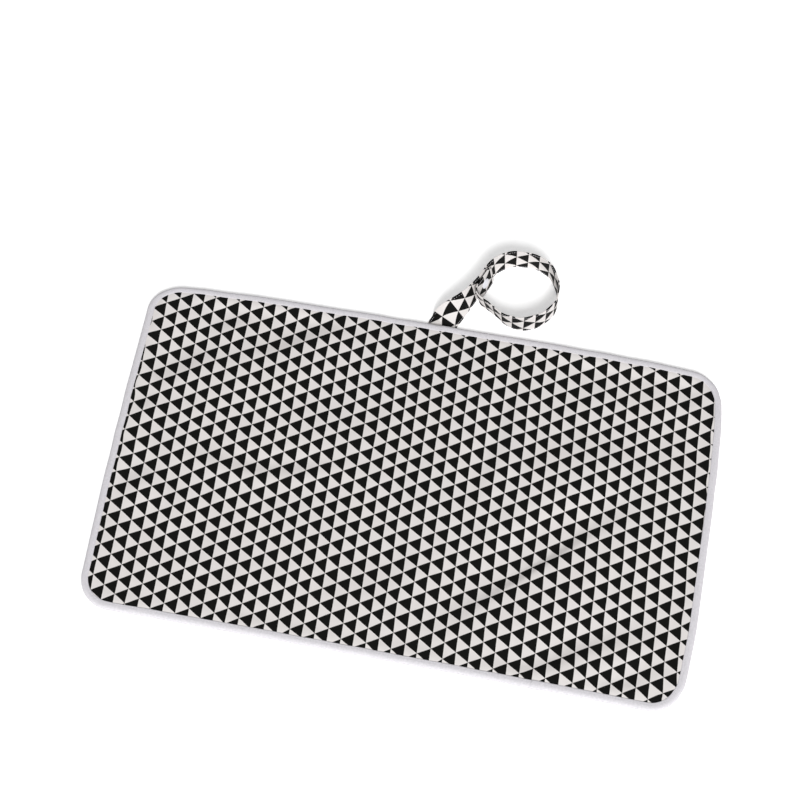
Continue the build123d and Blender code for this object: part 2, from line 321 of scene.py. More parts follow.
def make_piece(name, points, faces, material, uvs=None, sharp_from=None):
    """An object from points in metres; uvs give the flat cloth's place of each point.

    Faces from sharp_from on, a slab's rim, stay flat, so that they don't tilt the normals beside them.
    """
    mesh = bpy.data.meshes.new(name)
    mesh.from_pydata([tuple(p) for p in points], [], faces)
    mesh.materials.append(MATERIALS[material])
    if uvs is not None:
        layer = mesh.uv_layers.new(name="cloth")
        corner = np.zeros(len(mesh.loops), int)
        mesh.loops.foreach_get("vertex_index", corner)
        layer.data.foreach_set("uv", np.asarray(uvs, np.float32)[corner].ravel())
    last = len(faces) if sharp_from is None else sharp_from
    mesh.polygons.foreach_set("use_smooth", [i < last for i in range(len(faces))])
    mesh.update()
    for face in mesh.polygons[last:]:
        for corner in face.loop_indices:
            mesh.edges[mesh.loops[corner].edge_index].use_edge_sharp = True
    obj = bpy.data.objects.new(name, mesh)
    bpy.context.collection.objects.link(obj)
    return obj


def grid_faces(rows, columns, start=0, flip=False):
    """Quads over a grid of points in row order."""
    faces = []
    for r in range(rows - 1):
        for c in range(columns - 1):
            a = start + r * columns + c
            quad = (a, a + 1, a + columns + 1, a + columns)
            faces.append(quad[::-1] if flip else quad)
    return faces


def slab_faces(rows, columns, flip):
    """Faces of a closed slab between two grids of points, and where its rim's faces start."""
    n = rows * columns
    faces = grid_faces(rows, columns, 0, flip) + grid_faces(rows, columns, n, not flip)
    rim = list(range(columns))
    rim += [r * columns + columns - 1 for r in range(1, rows)]
    rim += [(rows - 1) * columns + c for c in range(columns - 2, -1, -1)]
    rim += [r * columns for r in range(rows - 2, 0, -1)]
    start = len(faces)
    for a, b in zip(rim, rim[1:] + rim[:1]):
        quad = (a, a + n, b + n, b)
        faces.append(quad[::-1] if flip else quad)
    return faces, start


def tube_faces(rings, around, start=0):
    """Quads round a swept closed section, with capped ends."""
    faces = []
    for r in range(rings - 1):
        for c in range(around):
            a, b = start + r * around + c, start + r * around + (c + 1) % around
            faces.append((a, b, b + around, a + around))
    faces.append(tuple(start + c for c in range(around))[::-1])
    last = start + (rings - 1) * around
    faces.append(tuple(last + c for c in range(around)))
    return faces


def smooth_step(t):
    """Rises softly from 0 to 1 as t does."""
    t = np.clip(t, 0, 1)
    return t * t * (3 - 2 * t)


def inset_of(x, y):
    """Distance in from the mat's rounded outline."""
    qx = np.abs(x) - (HALF_L - CORNER_R)
    qy = np.abs(y) - (HALF_W - CORNER_R)
    outside = np.hypot(np.maximum(qx, 0), np.maximum(qy, 0))
    inside = np.minimum(np.maximum(qx, qy), 0)
    return CORNER_R - outside - inside


# ================================================================ the mat's outline


def eased(points):
    """Moves the mat's points a few mm, as cut and sewn cloth is never quite square."""
    points = np.array(points, float)
    x, y = points[:, 0].copy(), points[:, 1].copy()
    s = y / (HALF_W - CORNER_R)
    t = x / (HALF_L - CORNER_R)
    # how far each edge bows out, in mm
    left = 1.2 + 5.0 * s - 2.0 * s**2
    right = 0.8 - 1.5 * s - 5.0 * np.minimum(s**4, 1.3)
    back = 1.4 + 1.8 * t - 5.0 * np.minimum(t**4, 1.3)
    front = -1.5 + 0.6 * t + 1.5 * t**2
    points[:, 0] += np.where(x < 0, -left, right) * MM * (x / HALF_L) ** 2
    points[:, 1] += np.where(y < 0, -front, back) * MM * (y / HALF_W) ** 2
    return points


# ================================================================ the mat's surface

# Soft folds of the padding: start, bend and end, height and width, all in mm. Each is a bank that
# faces back and left, with a hollow on that side of its line and a swell on the other.
FOLDS = [
    ((50, -166), (150, -66), (268, 38), 1.9, 23),
    ((92, -128), (150, -70), (205, -8), 0.6, 8),
    ((138, -204), (205, -152), (282, -112), 1.0, 14),
    ((236, -200), (268, -184), (296, -148), 0.75, 12),
    ((-248, 3), (-165, -34), (-55, 22), 0.60, 10),
    ((-286, 70), (-268, 102), (-240, 124), 0.85, 16),
    ((-252, 150), (-231, 158), (-212, 174), 0.70, 12),
    ((-194, 123), (-152, 146), (-98, 186), 0.85, 15),
    ((-316, -69), (-290, -48), (-262, -30), 0.70, 15),
    ((-244, -128), (-259, -90), (-264, -52), 0.60, 13),
    ((60, -20), (102, 48), (92, 178), 0.80, 12),
    ((54, -114), (92, -60), (102, 30), 0.50, 17),
    ((289, 100), (292, 130), (277, 164), 0.60, 12),
    ((-318, 29), (-300, 42), (-286, 57), 0.60, 12),
    ((95, 45), (190, 95), (315, 70), 1.3, 40),
    ((110, 120), (200, 175), (300, 150), 0.7, 26),
    ((-60, -150), (0, -120), (40, -60), 0.40, 24),
    ((-150, 50), (-90, 80), (-20, 70), 0.40, 22),
    ((-310, 60), (-200, 150), (-80, 185), 0.8, 30),
]


def fold_relief(x, y):
    """The banks of the soft folds, each fading out towards its ends."""
    total = np.zeros_like(x)
    for a, b, c, height, width in FOLDS:
        a, b, c = (np.array(p) * MM for p in (a, b, c))
        steps = np.linspace(0, 1, 25)[:, None]
        line = (1 - steps) ** 2 * a + 2 * steps * (1 - steps) * b + steps**2 * c
        reach = 4 * width * MM
        low, high = line.min(0) - reach, line.max(0) + reach
        near = np.flatnonzero((x > low[0]) & (x < high[0]) & (y > low[1]) & (y < high[1]))
        points = np.stack([x[near], y[near]], 1)
        best = np.full(len(near), 1e9)
        side = np.zeros(len(near))
        along = np.zeros(len(near))
        for i in range(len(line) - 1):
            d = line[i + 1] - line[i]
            t = (points - line[i]) @ d / (d @ d)
            off = points - line[i] - np.clip(t, 0, 1)[:, None] * d
            far = np.hypot(off[:, 0], off[:, 1])
            closer = far < best
            best = np.where(closer, far, best)
            side = np.where(closer, (d[0] * off[:, 1] - d[1] * off[:, 0]) / np.hypot(*d), side)
            along = np.where(closer, (i + np.clip(t, 0, 1)) / (len(line) - 1), along)
        taper = np.sin(np.pi * np.clip(along, 0.001, 0.999)) ** 0.7
        across = side / (width * MM)
        bank = across * np.exp(0.5 - (best / (width * MM)) ** 2 / 2)
        total[near] -= taper * FOLD_GAIN * height * MM * bank
    return total


WAVES = [
    (rng.uniform(30, 160), rng.uniform(0, 2 * math.pi), rng.uniform(0, 2 * math.pi), rng.uniform(0.4, 1))
    for _ in range(36)
]


def soft_waves(x, y):
    """Gentle unevenness of the padding, about -1 to 1."""
    total = np.zeros_like(x)
    for wavelength, turn, phase, weight in WAVES:
        k = 2 * math.pi / (wavelength * MM)
        total += weight * np.sin(k * (x * math.cos(turn) + y * math.sin(turn)) + phase)
    return total / 6


def edge_puckers(x, y, inset):
    """Short pulls that run in from the sewing line."""
    along = np.where(np.abs(x) / HALF_L > np.abs(y) / HALF_W, y, x)
    pulls = np.sin(along / (2.7 * MM) + 2.1 * np.sin(along / (11 * MM)))
    pulls += 0.7 * np.sin(along / (4.3 * MM) + 1.3 * np.sin(along / (17 * MM)) + 1.0)
    return pulls * np.exp(-np.maximum(inset - TAPE_W, 0) / (5 * MM))


def top_height(x, y):
    """The printed cover's upper face."""
    inset = inset_of(x, y)
    rim = EDGE_T - 0.95 * MM
    rise = 1 - np.exp(-np.maximum(inset - TAPE_W + 1 * MM, 0) / ROLL_OFF)
    inner = smooth_step((inset - TAPE_W) / (18 * MM))
    z = rim + (CROWN_T - 0.1 * MM - rim) * rise
    z += inner * (fold_relief(x, y) + 0.5 * MM * soft_waves(x, y) - SINK)
    z += 0.14 * MM * edge_puckers(x, y, inset)
    z = LOWEST + np.logaddexp(0, (z - LOWEST) / EASING) * EASING
    return HIGHEST - np.logaddexp(0, (HIGHEST - z) / EASING) * EASING


def strap_pocket(x, y):
    """How far the underside is let up over the strap's sewn end, 0 to 1."""
    p = np.stack([x, y, np.zeros_like(x)], -1) - EDGE_START
    along, across = p @ HEADING, -(p @ INWARD)
    ends = smooth_step((along + ROOT_LENGTH + 5 * MM) / (4 * MM))
    sides = smooth_step((across + 4.5 * MM) / (4 * MM))
    sides *= smooth_step((STRAP_W + 4.5 * MM - across) / (4 * MM))
    return ends * sides


def bottom_height(x, y):
    """The back cover's lower face, which lies on the surface under it."""
    inset = inset_of(x, y)
    rim = smooth_step((TAPE_W + 3 * MM - inset) / (5 * MM)) * 0.75 * MM
    inner = smooth_step((inset - TAPE_W) / (25 * MM))
    hollows = 0.22 * MM * np.maximum(soft_waves(-x, y + 0.3) + 0.9, 0) * inner
    return np.maximum(rim + hollows, POCKET_RISE * strap_pocket(x, y))


def sheet_rows(step):
    """Y places of the grid's rows: even in the middle, closer round the corners."""
    arc = HALF_W - CORNER_R
    middle = np.linspace(-arc, arc, int(2 * arc / step) + 1)
    turn = np.linspace(0, math.pi / 2, int(CORNER_R * 1.4 / step) + 2)[1:]
    top = arc + CORNER_R * np.sin(turn)
    return np.concatenate([-top[::-1], middle, top])


def half_grid(side, step, inset):
    """Points of one half of the mat, drawn in by inset from its outline."""
    rows = sheet_rows(step)
    rows = rows * (HALF_W - inset) / HALF_W
    over = np.maximum(np.abs(rows) - (HALF_W - CORNER_R), 0)
    radius = CORNER_R - inset
    width = HALF_L - CORNER_R + np.sqrt(np.maximum(radius**2 - np.minimum(over, radius) ** 2, 0))
    count = int(HALF_L / step)
    even = np.linspace(0, 1, count)
    share = np.concatenate([even[even < 0.9], np.linspace(0.9, 1, int(count * 0.2) + 1)])
    x = side * share[None, :] * width[:, None]
    y = np.repeat(rows[:, None], len(share), 1)
    return x, y


def print_drift(x, y):
    """How far the cloth is eased out of true: slow wander, and a pull in beside the tape."""
    inset = inset_of(x, y)
    slow_u = soft_waves(x + 0.11, y * 0.7) * 0.9 * MM
    slow_v = soft_waves(x * 0.8 - 0.07, y + 0.05) * 0.8 * MM
    near = np.exp(-np.maximum(inset - TAPE_W, 0) / (6 * MM)) * 1.1 * MM
    along = np.where(np.abs(x) / HALF_L > np.abs(y) / HALF_W, y, x)
    tug = np.sin(along / (8.5 * MM)) + 0.6 * np.sin(along / (5.1 * MM) + 1.7)
    toward_x = near * tug * (np.abs(x) / HALF_L > np.abs(y) / HALF_W)
    toward_y = near * tug * (np.abs(x) / HALF_L <= np.abs(y) / HALF_W)
    return slow_u + toward_x, slow_v + toward_y


def cloth_place(x, y):
    """Where on the printed cloth a point of the mat lies, in metres."""
    u = math.cos(COLUMN_TURN) * x + math.sin(COLUMN_TURN) * y + PRINT_PHASE[0] * COLUMN
    v = -math.sin(SIDE_TURN) * x + math.cos(SIDE_TURN) * y + PRINT_PHASE[1] * SIDE
    pull_u, pull_v = print_drift(x, y)
    return u + pull_u, v + pull_v


def shell(name, side, step, height, thickness, material):
    """One half of a cover: a closed thin sheet over a height, thickened down (or up if negative)."""
    x, y = half_grid(side, step, COVER_IN)
    rows, columns = x.shape
    z = height(x.ravel(), y.ravel())
    flat = np.stack([x.ravel(), y.ravel()], 1)
    face = np.column_stack([flat, z])
    other = np.column_stack([flat, z - thickness])
    faces, rim = slab_faces(rows, columns, (side < 0) != (thickness < 0))
    points = eased(np.vstack([face, other]))
    u, v = cloth_place(points[:, 0], points[:, 1])
    return make_piece(name, points, faces, material, np.stack([u, v], 1), rim)


def fold(obj):
    """Bakes a piece's placement into its points; the piece is not bent."""
    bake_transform(obj)


def mat_covers():
    """Top cover, wadding and back cover, each in two halves that meet at the middle."""
    made = {}
    for side, word in ((-1, "left"), (1, "right")):
        top = shell(f"printed_cover_{word}", side, PRINT_STEP, top_height, COVER_T, "print")
        back = shell(f"back_cover_{word}_half", side, BACK_STEP, bottom_height, -COVER_T, "back")
        fill = wadding_half(f"wadding_{word}_half", side)
        for obj, layer, slot in (
            (top, "top_cover", "print_fabric"),
            (back, "back_cover", "back_fabric"),
            (fill, "wadding", "wadding"),
        ):
            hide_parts(f"{layer}_{word}", f"{layer}_middle")
            fold(obj)
            made[obj.name] = obj
    return made


def wadding_half(name, side):
    """The fibre sheet between the covers, a closed slab that follows both."""
    x, y = half_grid(side, WADDING_STEP, WADDING_IN)
    rows, columns = x.shape
    flat = np.stack([x.ravel(), y.ravel()], 1)
    high = top_height(flat[:, 0], flat[:, 1]) - COVER_T - GLUE_GAP
    low = bottom_height(flat[:, 0], flat[:, 1]) + COVER_T + GLUE_GAP
    low = np.minimum(low, high - THINNEST)
    faces, rim = slab_faces(rows, columns, side < 0)
    points = np.vstack([np.column_stack([flat, high]), np.column_stack([flat, low])])
    return make_piece(name, eased(points), faces, "wadding", sharp_from=rim)


# ================================================================ the tape


def outline_walk(side, step):
    """Places and outward directions along half of the mat's outline, from back to front."""
    straight_x, straight_y = HALF_L - CORNER_R, HALF_W - CORNER_R
    quarter = math.pi / 2 * CORNER_R
    total = 2 * straight_x + 2 * straight_y + 2 * quarter
    walk = np.linspace(0, total, int(total / step) + 1)
    places, outward = [], []
    for s in walk:
        if s < straight_x:
            p, n = (s, HALF_W), (0, 1)
        elif s < straight_x + quarter:
            a = (s - straight_x) / CORNER_R
            n = (math.sin(a), math.cos(a))
            p = (straight_x + CORNER_R * n[0], straight_y + CORNER_R * n[1])
        elif s < straight_x + quarter + 2 * straight_y:
            p, n = (HALF_L, straight_y - (s - straight_x - quarter)), (1, 0)
        elif s < total - straight_x:
            a = (s - straight_x - quarter - 2 * straight_y) / CORNER_R
            n = (math.cos(a), -math.sin(a))
            p = (straight_x + CORNER_R * n[0], -straight_y + CORNER_R * n[1])
        else:
            p, n = (total - s, -HALF_W), (0, -1)
        places.append((side * p[0], p[1]))
        outward.append((side * n[0], n[1]))
    return walk, np.array(places), np.array(outward)


# The tape's section: distance out from the mat's edge and height, in mm, outer face first.
TAPE_SECTION = [
    (-8.0, 5.55), (-8.15, 5.9), (-7.95, 6.25), (-7.4, 6.42), (-6.6, 6.45), (-5.6, 6.52), (-4.4, 6.52),
    (-3.2, 6.38), (-2.1, 6.05), (-1.2, 5.5), (-0.5, 4.7), (-0.1, 3.8), (0.0, 3.0), (-0.15, 2.1),
    (-0.6, 1.2), (-1.3, 0.5), (-2.2, 0.12), (-3.4, 0.0), (-5.0, 0.0), (-6.6, 0.03), (-7.6, 0.02),
    (-8.1, 0.2), (-8.0, 0.55), (-7.0, 0.62), (-5.0, 0.65), (-3.2, 0.7), (-1.9, 1.3), (-1.15, 2.2),
    (-0.9, 3.1), (-1.1, 4.2), (-1.8, 5.1), (-3.0, 5.65), (-4.8, 5.85), (-6.6, 5.8),
]
LAP_POINTS = 17  # the section's outer face as far as the underside
LAP_HALF = 6.5 * MM


def tape_half(side):
    """Half of the folded tape, swept round the mat with the pull of its stitches."""
    word = "left" if side < 0 else "right"
    walk, places, outward = outline_walk(side, TAPE_STEP)
    section = np.array(TAPE_SECTION) * MM
    along = walk[:, None]
    flat_out, flat_z = section[None, :, 0], section[None, :, 1]
    upper = flat_z > 3 * MM

    shown = np.exp(-(((flat_out + STITCH_IN) / (0.8 * MM)) ** 2))
    pull = 0.55 + 0.45 * np.cos(2 * math.pi * along / STITCH_PITCH)
    z = flat_z + 0 * along - np.where(upper, 0.28 * MM * shown * pull, -0.12 * MM * shown * pull)

    slow = np.sin(along / (13 * MM) + 2 * np.sin(along / (37 * MM) + side))
    quick = np.sin(along / (3.1 * MM) + 3 * np.sin(along / (19 * MM)))
    z = z + np.where(upper, (0.10 * slow + 0.05 * quick) * MM, 0)
    out = flat_out + 0 * along + (0.22 * slow + 0.06 * quick) * MM * (flat_out < -5 * MM)
    out = out + 0.18 * MM * slow * (flat_out > -3 * MM) - 0.18 * MM

    turning = np.abs(outward[:, 0] * outward[:, 1])[:, None] * 2
    pleats = np.sin(along / (0.75 * MM)) * turning
    gathered = np.exp(-(((flat_out + 6 * MM) / (2.5 * MM)) ** 2))
    z = z + np.where(upper, 0.09 * MM * pleats * gathered, 0)

    x = places[:, None, 0] + outward[:, None, 0] * out
    y = places[:, None, 1] + outward[:, None, 1] * out
    lift = POCKET_RISE * strap_pocket(x.ravel(), y.ravel()).reshape(x.shape)
    inner_face = (flat_z > 0.4 * MM) * 0.6 * MM * (lift > 0.1 * MM)
    z = np.maximum(z, np.where(upper, 0, lift + inner_face))

    points = np.stack([x, y, z], -1).reshape(-1, 3)
    reach = np.concatenate([[0], np.cumsum(np.hypot(*np.diff(section, axis=0).T))])
    uvs = np.stack([np.repeat(walk, len(section)), np.tile(reach, len(walk))], 1)
    faces = tube_faces(len(walk), len(section))
    if side > 0:
        faces = [f[::-1] for f in faces]
    obj = make_piece(f"bias_tape_{word}", eased(points), faces, "tape", uvs, len(faces) - 2)
    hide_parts(f"edge_binding_{word}", "edge_binding_back", "edge_binding_front")
    fold(obj)
    return obj


def stitch_mesh(places, ahead, across, up, length, radius):
    """Short rounded stitches, each dipping into the cloth at its ends."""
    points, faces = [], []
    rings = [(-0.5, 0.25), (-0.36, 0.85), (-0.12, 1.0), (0.12, 1.0), (0.36, 0.85), (0.5, 0.25)]
    for p, a, b, c in zip(places, ahead, across, up):
        start = len(points)
        for t, size in rings:
            centre = p + a * t * length + c * (radius * (0.7 - 5.2 * t * t))
            for k in range(6):
                turn = 2 * math.pi * k / 6
                points.append(centre + (b * math.cos(turn) + c * math.sin(turn) * 0.8) * radius * size)
        faces += tube_faces(len(rings), 6, start)
    return points, faces


def tape_stitches(side):
    """The sewing line on both faces of the tape."""
    word = "left" if side < 0 else "right"
    walk, places, outward = outline_walk(side, STITCH_PITCH)
    points, faces = [], []
    wander = 0.15 * MM * np.sin(walk / (29 * MM))
    for face_z, direction in ((EDGE_T - 0.28 * MM, 1.0), (0.30 * MM, -1.0)):
        spots = places - outward * (STITCH_IN + wander)[:, None]
        keep = np.ones(len(spots), bool)
        if direction < 0:
            keep = strap_pocket(spots[:, 0], spots[:, 1]) < 0.02
        p3 = np.column_stack([spots, np.full(len(spots), face_z)])[keep]
        out3 = np.column_stack([outward, np.zeros(len(spots))])[keep]
        up3 = np.tile([0, 0, direction], (len(p3), 1))
        ahead = np.cross(up3, out3)
        radius = 0.26 * MM if direction > 0 else 0.2 * MM
        more, quads = stitch_mesh(p3, ahead, out3, up3, STITCH_PITCH * 0.86, radius)
        faces += [tuple(i + len(points) for i in f) for f in quads]
        points += more
    obj = make_piece(f"tape_stitches_{word}", eased(points), faces, "thread")
    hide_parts(f"binding_thread_{word}", "binding_thread_back", "binding_thread_front")
    fold(obj)
    return obj


def tape_lap():
    """The tape's end, turned under and lapped over its start on the front edge."""
    section = np.array(TAPE_SECTION[:LAP_POINTS]) * MM
    widths = np.linspace(-LAP_HALF, LAP_HALF, 27)

    def face(sideways, up, width):
        """One face's points: the tape's section moved off its own middle."""
        points = []
        for out, z in section:
            angle = math.atan2(z - 3 * MM, out + 6 * MM)
            y = -HALF_W - out - math.cos(angle) * sideways
            points.append((LAP_X + width - 0.25 * out, y, z + math.sin(angle) * up))
        return points

    points = []
    for w in widths:
        grow = (0.10 + 0.42 * smooth_step((LAP_HALF - abs(w)) / (1.6 * MM))) * MM
        points += face(grow * 0.8, grow, w)
    for w in widths:
        points += face(-0.1 * MM, -0.1 * MM, w)
    rows, columns = len(widths), len(section)
    faces, _ = slab_faces(rows, columns, False)
    reach = np.concatenate([[0], np.cumsum(np.hypot(*np.diff(section, axis=0).T))])
    uvs = np.stack([np.tile(np.repeat(widths, columns), 2), np.tile(np.tile(reach, rows), 2)], 1)
    obj = make_piece("tape_lap", eased(points), faces, "tape", uvs)
    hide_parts("binding_lap")
    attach(obj, "pad_right")
    return obj


# ================================================================ the strap


def plan_point(along, inward=0.0):
    """A place on the floor, along the strap's straight first stretch and in from it."""
    return EDGE_START + HEADING * along + INWARD * inward


def strap_path():
    """The long run's and the free run's stretches: each is a length, and a place and heading on it."""
    to_centre = RING - EDGE_START
    far_r = float(to_centre @ INWARD)
    tangent_s = float(to_centre @ HEADING)
    tangent = math.atan2(-INWARD[1], -INWARD[0])
    near_centre = RING + np.array([far_r - NEAR_R, 0, 0])
    joint = plan_point(TONGUE[0], LAYER_STEP)
    gap = near_centre - joint
    inward = float(gap @ INWARD)
    turn_r = (NEAR_R**2 - float(gap @ gap)) / (2 * (NEAR_R - inward))
    turn_centre = joint + turn_r * INWARD
    d = turn_centre - near_centre
    meet = math.atan2(d[1], d[0])

    def arc(centre, radius, start, sweep):
        """A clockwise arc of the given angle."""
        def at(t):
            a = start - t / radius
            spot = centre + radius * np.array([math.cos(a), math.sin(a), 0])
            return spot, np.array([math.sin(a), -math.cos(a), 0])
        return radius * sweep, at

    def straight(start):
        """A straight stretch along the strap's first heading."""
        return lambda t: (start + HEADING * t, HEADING)

    outer = [(tangent_s + ROOT_LENGTH, straight(plan_point(-ROOT_LENGTH)))]
    outer.append(arc(RING, far_r, tangent, tangent))
    free = [
        arc(near_centre, NEAR_R, 0.0, -meet),
        arc(turn_centre, turn_r, meet, 2 * math.pi + meet - tangent),
        (TONGUE[1] - TONGUE[0], straight(joint)),
    ]
    return outer, free


def strap_frames(stretches, first, step):
    """Steps along the strap: distance, place of the lower edge, and heading."""
    frames, base = [], first
    for i, (length, at) in enumerate(stretches):
        count = max(3, int(length / step))
        for k in range(count + (i == len(stretches) - 1)):
            t = length * k / count
            spot, ahead = at(t)
            frames.append((base + t, spot, ahead))
        base += length
    return frames


OUTER, FREE = strap_path()
OUTER_FRAMES = strap_frames(OUTER, -ROOT_LENGTH, 1.5 * MM)
FREE_START = sum(length for length, _ in OUTER) - ROOT_LENGTH
FREE_FRAMES = strap_frames(FREE, FREE_START, 1.5 * MM)
SNAP_BACK = FREE_START + sum(length for length, _ in FREE) - (TONGUE[1] - STUD_S)


def strap_lean(s):
    """How far the standing strap leans out of the ring, most at the lower left."""
    leaving = float(smooth_step((s - 66 * MM) / (70 * MM)))
    lean = SNAP_LEAN * (1 - leaving)
    to_snap = SNAP_BACK - s
    rising = float(smooth_step((95 * MM - to_snap) / (55 * MM)))
    lean += NEAR_LEAN * rising
    settling = float(smooth_step((26 * MM - to_snap) / (18 * MM)))
    return lean + (SNAP_LEAN - NEAR_LEAN) * settling


def strap_frame(s, spot, ahead):
    """Lower edge, across and facing at a distance, with the twist and the ring's lean."""
    side = np.array([ahead[1], -ahead[0], 0])
    twisted = min(max(s - TWIST[0], 0), TWIST[1] - TWIST[0])
    whole = 1 - math.exp((TWIST[0] - TWIST[1]) / TWIST_DECAY)
    share = (1 - math.exp(-twisted / TWIST_DECAY)) / whole
    turn = (math.pi / 2 - strap_lean(s)) * share
    across = -side * math.cos(turn) + UP * math.sin(turn)
    facing = side * math.sin(turn) + UP * math.cos(turn)

    clear = STRAP_T / 2 + 0.1 * MM
    under = 0.2 * MM * float(smooth_step((6 * MM - s) / (8 * MM)))
    edge = spot + UP * (clear * math.cos(turn) + under + 0.15 * MM * math.sin(turn))

    to_snap = SNAP_BACK - s
    drawn = smooth_step((100 * MM - to_snap) / (60 * MM)) * smooth_step((to_snap - 16 * MM) / (20 * MM))
    edge = edge + side * NEAR_DRAW * float(drawn)
    loose = smooth_step((s - 76 * MM) / (40 * MM)) * smooth_step((SNAP_BACK - 14 * MM - s) / (40 * MM))
    loose = float(loose)
    wave = (0.5 * math.sin(s / (8.5 * MM)) + 0.3 * math.sin(s / (3.7 * MM) + 1)) * MM * loose
    return edge + facing * wave, across, facing


def strap_section(width, thickness, margin):
    """Across and facing places round the strap's section, inner face first."""
    half = thickness / 2
    pulled_in = thickness > 1 * MM
    across = np.array([0.0, 0.25, 0.8, 1.5, 2.0, 2.6, 4.5, 8, 12]) * MM
    across = np.concatenate([across, width / 2 + np.array([0]), width - across[::-1]])
    edge_gap = np.minimum(across, width - across)
    dent = np.exp(-(((edge_gap - STRAP_STITCH_IN) / (0.55 * MM)) ** 2)) * 0.16 * MM
    end = np.clip(edge_gap / (0.8 * MM), 0, 1)
    swell = half * np.sqrt(np.clip(1 - (1 - end) ** 2, 0.12, 1)) - dent * pulled_in
    face = [(margin + a, h) for a, h in zip(across, swell)]
    back = [(margin + a, -h) for a, h in zip(across[::-1], swell[::-1])]
    return face + back


def sweep_strap(name, frames, thickness, margin, material):
    """A closed ribbon along the strap, with flat-cloth coordinates on both faces."""
    section = strap_section(STRAP_W - 2 * margin, thickness, margin)
    half = len(section) // 2
    points, uvs = [], []
    for s, spot, ahead in frames:
        edge, across, facing = strap_frame(s, spot, ahead)
        for i, (a, h) in enumerate(section):
            points.append(edge + across * a + facing * h)
            uvs.append((s, a if i < half else 2 * STRAP_W - a))
    faces = [f[::-1] for f in tube_faces(len(frames), len(section))]
    uvs = np.array(uvs) + np.array([STRAP_PHASE[0] * COLUMN, STRAP_PHASE[1] * SIDE])
    return make_piece(name, points, faces, material, uvs)


def rounded_tip(obj, frames):
    """Rounds the free end's corners by drawing its last stretch in."""
    edge, across, _ = strap_frame(*frames[-1])
    middle = edge + across * STRAP_W / 2
    ahead = frames[-1][2]
    radius = 4 * MM
    for v in obj.data.vertices:
        p = np.array(v.co)
        gap = float((middle - p) @ ahead)
        if not -1 * MM < gap < radius or np.linalg.norm(p - middle) > STRAP_W:
            continue
        reach = math.sqrt(max(radius**2 - (radius - gap) ** 2, 0)) - radius
        a = float((p - middle) @ across)
        limit = STRAP_W / 2 + reach
        v.co = Vector(p + across * (np.clip(a, -limit, limit) - a))


def strap_pieces():
    """The strap in two runs: from the mat to the ring's far side, and the free run with the tongue."""
    swing = np.array(JOINTS["strap_swing"]["pos_m"])
    hinge = (swing - HEADING * 3 * MM, swing + HEADING * 3 * MM)
    right = FREE_FRAMES[0][1]
    release = (right - np.array([8, 0, 0]) * MM, np.array([52 * MM, right[1], 0]))
    for name, frames, thickness, margin, material, slot, nodes in (
        ("strap_long_run", OUTER_FRAMES, STRAP_T, 0, "print", "print_fabric",
         ("strap_root", "strap_tail", "strap_ring_far")),
        ("strap_free_run", FREE_FRAMES, STRAP_T, 0, "print", "print_fabric",
         ("strap_ring_near", "strap_tongue")),
        ("stiffener_long_run", OUTER_FRAMES[8:], STIFFENER_T, STIFFENER_IN, "stiffener", "interfacing",
         ("strap_interfacing",)),
        ("stiffener_free_run", FREE_FRAMES[:-4], STIFFENER_T, STIFFENER_IN, "stiffener", "interfacing",
         ("tongue_interfacing",)),
    ):
        obj = sweep_strap(name, frames, thickness, margin, material)
        if name == "strap_free_run":
            rounded_tip(obj, frames)
        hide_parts(*nodes)
        if frames[0][0] < 0.01:
            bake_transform(obj)
        else:
            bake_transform(obj)
    return hinge, release


def add_stitch(points, faces, place, ahead, across, up):
    """Adds one small stitch to a mesh's points and faces."""
    more, quads = stitch_mesh([place], [ahead], [across], [up], 2.2 * MM, 0.17 * MM)
    faces += [tuple(i + len(points) for i in f) for f in quads]
    points += more


def strap_stitches():
    """Topstitching along both edges of the strap, on both faces."""
    for name, stretches, first in (("long", OUTER, -ROOT_LENGTH), ("free", FREE, FREE_START)):
        frames = strap_frames(stretches, first, STRAP_STITCH_PITCH)[1:-1]
        points, faces = [], []
        for s, spot, ahead in frames:
            edge, across, facing = strap_frame(s, spot, ahead)
            for a in (STRAP_STITCH_IN, STRAP_W - STRAP_STITCH_IN):
                for face in (1, -1):
                    place = edge + across * a + facing * face * (STRAP_T / 2 - 0.14 * MM)
                    add_stitch(points, faces, place, ahead, across, facing * face)
        obj = make_piece(f"strap_stitches_{name}", points, faces, "thread")
        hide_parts("strap_stitching")
        if name == "long":
            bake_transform(obj)
        else:
            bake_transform(obj)


def root_stitches():
    """The box and cross of stitches that holds the strap's end under the mat."""
    low, high = -ROOT_LENGTH + 3 * MM, -5 * MM
    left, right = 4.5 * MM, STRAP_W - 4.5 * MM
    corners = [(low, left), (high, left), (high, right), (low, right)]
    box = list(zip(corners, corners[1:] + corners[:1]))
    cross = [(corners[0], corners[2]), (corners[1], corners[3])]
    points, faces = [], []
    for (s0, a0), (s1, a1) in box + cross:
        length = math.hypot(s1 - s0, a1 - a0)
        ahead = (HEADING * (s1 - s0) - INWARD * (a1 - a0)) / length
        count = int(length / STRAP_STITCH_PITCH)
        for k in range(count):
            t = (k + 0.5) / count
            place = plan_point(s0 + (s1 - s0) * t) - INWARD * (a0 + (a1 - a0) * t) + UP * 0.28 * MM
            add_stitch(points, faces, place, ahead, np.cross(-UP, ahead), -UP)
    obj = make_piece("strap_root_stitches", points, faces, "thread")
    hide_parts("strap_root_stitching")
    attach(obj, "pad_middle")


# ================================================================ press stud


